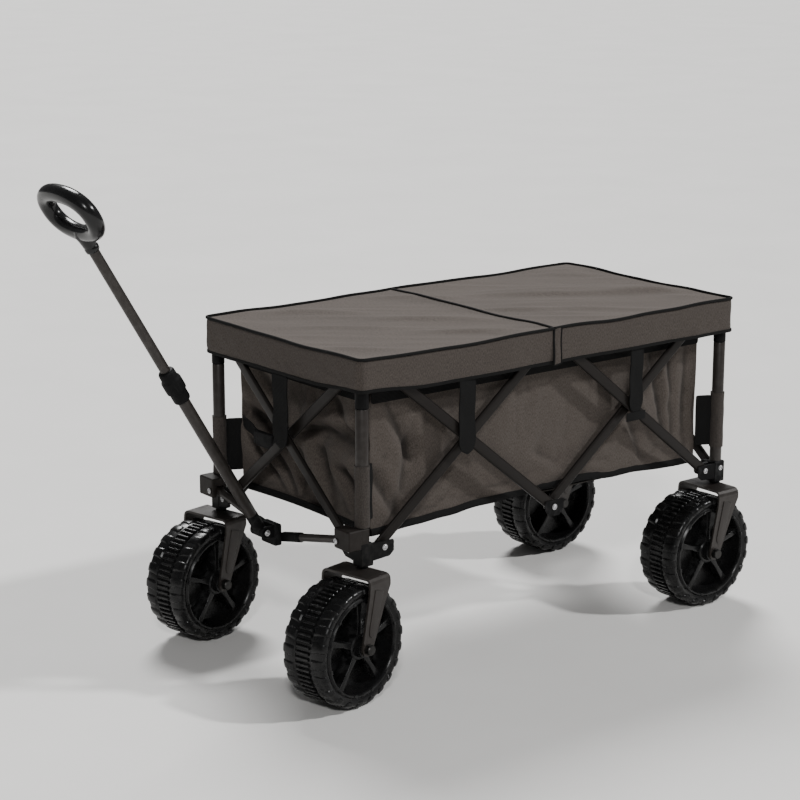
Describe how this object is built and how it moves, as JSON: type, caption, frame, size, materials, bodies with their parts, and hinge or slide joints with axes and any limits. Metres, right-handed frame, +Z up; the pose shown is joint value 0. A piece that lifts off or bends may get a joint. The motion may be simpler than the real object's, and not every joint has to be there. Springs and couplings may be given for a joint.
{
  "type": "folding camp wagon",
  "caption": "Folding camp wagon: scissor-framed fabric basket under a two-panel soft cover, wide moulded wheels, swivelling front forks and a telescoping pull handle.",
  "frame": {"origin": "middle of the footprint of the whole wagon with its handle out, on the ground", "axes": "+Z up, +X to the wagon's right side, +Y to the rear, so the handle points along -Y"},
  "size_m": [0.563, 1.3337, 0.8799],
  "materials": {
    "frame_paint": "satin dark grey-brown powder coat",
    "bracket_black": "matt moulded",
    "wheel_black": "glossy moulded",
    "bolt_steel": "zinc plated",
    "cover_cloth": "melange coated canvas",
    "basket_cloth": "coated canvas",
    "webbing_black": "woven webbing",
    "mat_cloth": "padded mat"
  },
  "bodies": {
    "rear_right_corner": {"lower_bracket_rear_right": "bracket_black", "post_rear_right": "frame_paint", "post_wrap_rear_right": "webbing_black", "fork_rear_right": "frame_paint", "axle_rear_right": "bolt_steel", "basket_wall_right": "basket_cloth", "basket_wall_rear": "basket_cloth", "floor_mat_rear": "mat_cloth"},
    "rear_left_corner": {"lower_bracket_rear_left": "bracket_black", "post_rear_left": "frame_paint", "post_wrap_rear_left": "webbing_black", "fork_rear_left": "frame_paint", "axle_rear_left": "bolt_steel", "basket_wall_left": "basket_cloth"},
    "front_right_corner": {"lower_bracket_front_right": "bracket_black", "post_front_right": "frame_paint", "post_wrap_front_right": "webbing_black", "basket_wall_front": "basket_cloth", "floor_mat_front": "mat_cloth"},
    "front_left_corner": {"lower_bracket_front_left": "bracket_black", "post_front_left": "frame_paint", "post_wrap_front_left": "webbing_black"},
    "top_rear_right": {"top_bracket_rear_right": "bracket_black"},
    "top_rear_left": {"top_bracket_rear_left": "bracket_black"},
    "top_front_right": {"top_bracket_front_right": "bracket_black"},
    "top_front_left": {"top_bracket_front_left": "bracket_black"},
    "arm_right_rear_a": {"arm_right_rear_a": "frame_paint"},
    "arm_right_rear_b": {"arm_right_rear_b": "frame_paint"},
    "arm_right_front_a": {"arm_right_front_a": "frame_paint"},
    "arm_right_front_b": {"arm_right_front_b": "frame_paint"},
    "arm_left_rear_a": {"arm_left_rear_a": "frame_paint"},
    "arm_left_rear_b": {"arm_left_rear_b": "frame_paint"},
    "arm_left_front_a": {"arm_left_front_a": "frame_paint"},
    "arm_left_front_b": {"arm_left_front_b": "frame_paint"},
    "arm_rear_a": {"arm_rear_a": "frame_paint"},
    "arm_rear_b": {"arm_rear_b": "frame_paint"},
    "arm_front_a": {"arm_front_a": "frame_paint"},
    "arm_front_b": {"arm_front_b": "frame_paint"},
    "mid_joint_right_lower": {"mid_joint_right_lower": "bracket_black"},
    "mid_joint_right_upper": {"mid_joint_right_upper": "bracket_black"},
    "mid_joint_left_lower": {"mid_joint_left_lower": "bracket_black"},
    "mid_joint_left_upper": {"mid_joint_left_upper": "bracket_black"},
    "yoke_arm_right": {"yoke_arm_right": "frame_paint"},
    "yoke_arm_left": {"yoke_arm_left": "frame_paint"},
    "handle_hub": {"handle_hub": "bracket_black"},
    "handle_lower": {"handle_lower_tube": "frame_paint", "handle_collar": "bracket_black"},
    "handle_upper": {"handle_upper_tube": "frame_paint", "handle_grip": "wheel_black"},
    "caster_right": {"fork_front_right": "frame_paint", "axle_front_right": "bolt_steel"},
    "caster_left": {"fork_front_left": "frame_paint", "axle_front_left": "bolt_steel"},
    "wheel_rear_right": {"wheel_rear_right": "wheel_black"},
    "wheel_rear_left": {"wheel_rear_left": "wheel_black"},
    "wheel_front_right": {"wheel_front_right": "wheel_black"},
    "wheel_front_left": {"wheel_front_left": "wheel_black"},
    "cover_front": {"cover_front": "cover_cloth"},
    "cover_rear": {"cover_rear": "cover_cloth"}
  },
  "joints": [
    {"name": "fold", "type": "hinge", "parent": "rear_right_corner", "child": "arm_right_rear_a", "pos_m": [0.218, 0.573, 0.254], "axis": [-1, 0, 0], "range_deg": [0, 16], "deforming": ["basket_wall_right", "basket_wall_left", "basket_wall_rear", "basket_wall_front", "floor_mat_rear", "floor_mat_front", "cover_front", "cover_rear"]},
    {"name": "fold_right_rear_b", "type": "hinge", "parent": "arm_right_rear_a", "child": "arm_right_rear_b", "pos_m": [0.212, 0.383, 0.407], "axis": [1, 0, 0], "range_deg": [0, 32.01]},
    {"name": "fold_right_front_a", "type": "hinge", "parent": "arm_right_rear_a", "child": "arm_right_front_a", "pos_m": [0.212, 0.193, 0.56], "axis": [1, 0, 0], "range_deg": [0, 32.01]},
    {"name": "fold_right_front_b", "type": "hinge", "parent": "arm_right_front_a", "child": "arm_right_front_b", "pos_m": [0.212, 0.003, 0.407], "axis": [1, 0, 0], "range_deg": [-32.01, 0]},
    {"name": "fold_front_right_corner", "type": "hinge", "parent": "arm_right_front_a", "child": "front_right_corner", "pos_m": [0.206, -0.187, 0.254], "axis": [1, 0, 0], "range_deg": [-16.01, 0]},
    {"name": "fold_top_front_right", "type": "hinge", "parent": "arm_right_front_b", "child": "top_front_right", "pos_m": [0.218, -0.187, 0.56], "axis": [1, 0, 0], "range_deg": [0, 16.01]},
    {"name": "fold_top_rear_right", "type": "hinge", "parent": "arm_right_rear_b", "child": "top_rear_right", "pos_m": [0.206, 0.573, 0.56], "axis": [1, 0, 0], "range_deg": [-16.01, 0]},
    {"name": "fold_mid_right_lower", "type": "hinge", "parent": "arm_right_rear_b", "child": "mid_joint_right_lower", "pos_m": [0.212, 0.193, 0.254], "axis": [1, 0, 0], "range_deg": [-16.01, 0]},
    {"name": "fold_mid_right_upper", "type": "hinge", "parent": "arm_right_rear_a", "child": "mid_joint_right_upper", "pos_m": [0.212, 0.193, 0.56], "axis": [1, 0, 0], "range_deg": [0, 16.01]},
    {"name": "fold_left_rear_a", "type": "hinge", "parent": "rear_left_corner", "child": "arm_left_rear_a", "pos_m": [-0.218, 0.573, 0.254], "axis": [1, 0, 0], "range_deg": [-16.01, 0]},
    {"name": "fold_left_rear_b", "type": "hinge", "parent": "arm_left_rear_a", "child": "arm_left_rear_b", "pos_m": [-0.212, 0.383, 0.407], "axis": [1, 0, 0], "range_deg": [0, 32.01]},
    {"name": "fold_left_front_a", "type": "hinge", "parent": "arm_left_rear_a", "child": "arm_left_front_a", "pos_m": [-0.212, 0.193, 0.56], "axis": [1, 0, 0], "range_deg": [0, 32.01]},
    {"name": "fold_left_front_b", "type": "hinge", "parent": "arm_left_front_a", "child": "arm_left_front_b", "pos_m": [-0.212, 0.003, 0.407], "axis": [1, 0, 0], "range_deg": [-32.01, 0]},
    {"name": "fold_front_left_corner", "type": "hinge", "parent": "arm_left_front_a", "child": "front_left_corner", "pos_m": [-0.206, -0.187, 0.254], "axis": [1, 0, 0], "range_deg": [-16.01, 0]},
    {"name": "fold_top_front_left", "type": "hinge", "parent": "arm_left_front_b", "child": "top_front_left", "pos_m": [-0.218, -0.187, 0.56], "axis": [1, 0, 0], "range_deg": [0, 16.01]},
    {"name": "fold_top_rear_left", "type": "hinge", "parent": "arm_left_rear_b", "child": "top_rear_left", "pos_m": [-0.206, 0.573, 0.56], "axis": [1, 0, 0], "range_deg": [-16.01, 0]},
    {"name": "fold_mid_left_lower", "type": "hinge", "parent": "arm_left_rear_b", "child": "mid_joint_left_lower", "pos_m": [-0.212, 0.193, 0.254], "axis": [1, 0, 0], "range_deg": [-16.01, 0]},
    {"name": "fold_mid_left_upper", "type": "hinge", "parent": "arm_left_rear_a", "child": "mid_joint_left_upper", "pos_m": [-0.212, 0.193, 0.56], "axis": [1, 0, 0], "range_deg": [0, 16.01]},
    {"name": "fold_rear_a", "type": "hinge", "parent": "rear_right_corner", "child": "arm_rear_a", "pos_m": [0.19, 0.617, 0.254], "axis": [0, 1, 0], "range_deg": [0, 16.01]},
    {"name": "fold_rear_b", "type": "hinge", "parent": "arm_rear_a", "child": "arm_rear_b", "pos_m": [0, 0.611, 0.407], "axis": [0, 1, 0], "range_deg": [-32.01, 0]},
    {"name": "fold_rear_left_corner", "type": "hinge", "parent": "arm_rear_b", "child": "rear_left_corner", "pos_m": [-0.19, 0.605, 0.254], "axis": [0, 1, 0], "range_deg": [0, 16.01]},
    {"name": "fold_front_end_a", "type": "hinge", "parent": "front_right_corner", "child": "arm_front_a", "pos_m": [0.19, -0.231, 0.254], "axis": [0, 1, 0], "range_deg": [0, 16.01]},
    {"name": "fold_front_end_b", "type": "hinge", "parent": "arm_front_a", "child": "arm_front_b", "pos_m": [0, -0.225, 0.407], "axis": [0, 1, 0], "range_deg": [-32.01, 0]},
    {"name": "fold_yoke_right", "type": "hinge", "parent": "front_right_corner", "child": "yoke_arm_right", "pos_m": [0.19, -0.246, 0.27], "axis": [0, 1, 0], "range_deg": [-33.17, 0]},
    {"name": "fold_yoke_hub", "type": "hinge", "parent": "yoke_arm_right", "child": "handle_hub", "pos_m": [0.0135, -0.246, 0.232], "axis": [0, 1, 0], "range_deg": [0, 33.17]},
    {"name": "fold_yoke_left", "type": "hinge", "parent": "front_left_corner", "child": "yoke_arm_left", "pos_m": [-0.19, -0.246, 0.27], "axis": [0, 1, 0], "range_deg": [0, 33.17]},
    {"name": "handle_pitch", "type": "hinge", "parent": "handle_hub", "child": "handle_lower", "pos_m": [0, -0.284, 0.247], "axis": [1, 0, 0], "range_deg": [-30, 58]},
    {"name": "handle_slide", "type": "slide", "parent": "handle_lower", "child": "handle_upper", "axis": [0, -0.512, 0.859], "range_m": [-0.245, 0]},
    {"name": "caster_swivel_right", "type": "hinge", "parent": "front_right_corner", "child": "caster_right", "pos_m": [0.212, -0.225, 0.225], "axis": [0, 0, 1], "continuous": true},
    {"name": "caster_swivel_left", "type": "hinge", "parent": "front_left_corner", "child": "caster_left", "pos_m": [-0.212, -0.225, 0.225], "axis": [0, 0, 1], "continuous": true},
    {"name": "wheel_spin_rear_right", "type": "hinge", "parent": "rear_right_corner", "child": "wheel_rear_right", "pos_m": [0.212, 0.562, 0.105], "axis": [1, 0, 0], "continuous": true},
    {"name": "wheel_spin_rear_left", "type": "hinge", "parent": "rear_left_corner", "child": "wheel_rear_left", "pos_m": [-0.212, 0.562, 0.105], "axis": [1, 0, 0], "continuous": true},
    {"name": "wheel_spin_front_right", "type": "hinge", "parent": "caster_right", "child": "wheel_front_right", "pos_m": [0.22219, -0.27293, 0.105], "axis": [0.9781, 0.2079, 0], "continuous": true},
    {"name": "wheel_spin_front_left", "type": "hinge", "parent": "caster_left", "child": "wheel_front_left", "pos_m": [-0.20181, -0.27293, 0.105], "axis": [0.9781, 0.2079, 0], "continuous": true},
    {"name": "cover_front_lift", "type": "hinge", "parent": "top_rear_right", "child": "cover_front", "pos_m": [0, 0.1785, 0.58], "axis": [-1, 0, 0], "range_deg": [0, 90]},
    {"name": "cover_rear_lift", "type": "hinge", "parent": "top_rear_right", "child": "cover_rear", "pos_m": [0, 0.1795, 0.58], "axis": [1, 0, 0], "range_deg": [0, 90]}
  ],
  "couplings": [
    {"joint": "fold_right_rear_b", "follows": "fold", "ratio": 2},
    {"joint": "fold_right_front_a", "follows": "fold", "ratio": 2},
    {"joint": "fold_right_front_b", "follows": "fold", "ratio": -2},
    {"joint": "fold_front_right_corner", "follows": "fold", "ratio": -1},
    {"joint": "fold_top_front_right", "follows": "fold", "ratio": 1},
    {"joint": "fold_top_rear_right", "follows": "fold", "ratio": -1},
    {"joint": "fold_mid_right_lower", "follows": "fold", "ratio": -1},
    {"joint": "fold_mid_right_upper", "follows": "fold", "ratio": 1},
    {"joint": "fold_left_rear_a", "follows": "fold", "ratio": -1},
    {"joint": "fold_left_rear_b", "follows": "fold", "ratio": 2},
    {"joint": "fold_left_front_a", "follows": "fold", "ratio": 2},
    {"joint": "fold_left_front_b", "follows": "fold", "ratio": -2},
    {"joint": "fold_front_left_corner", "follows": "fold", "ratio": -1},
    {"joint": "fold_top_front_left", "follows": "fold", "ratio": 1},
    {"joint": "fold_top_rear_left", "follows": "fold", "ratio": -1},
    {"joint": "fold_mid_left_lower", "follows": "fold", "ratio": -1},
    {"joint": "fold_mid_left_upper", "follows": "fold", "ratio": 1},
    {"joint": "fold_rear_a", "follows": "fold", "ratio": 1},
    {"joint": "fold_rear_b", "follows": "fold", "ratio": -2},
    {"joint": "fold_rear_left_corner", "follows": "fold", "ratio": 1},
    {"joint": "fold_front_end_a", "follows": "fold", "ratio": 1},
    {"joint": "fold_front_end_b", "follows": "fold", "ratio": -2},
    {"joint": "fold_yoke_right", "follows": "fold", "ratio": -2.0726},
    {"joint": "fold_yoke_hub", "follows": "fold", "ratio": 2.0726},
    {"joint": "fold_yoke_left", "follows": "fold", "ratio": 2.0726}
  ]
}
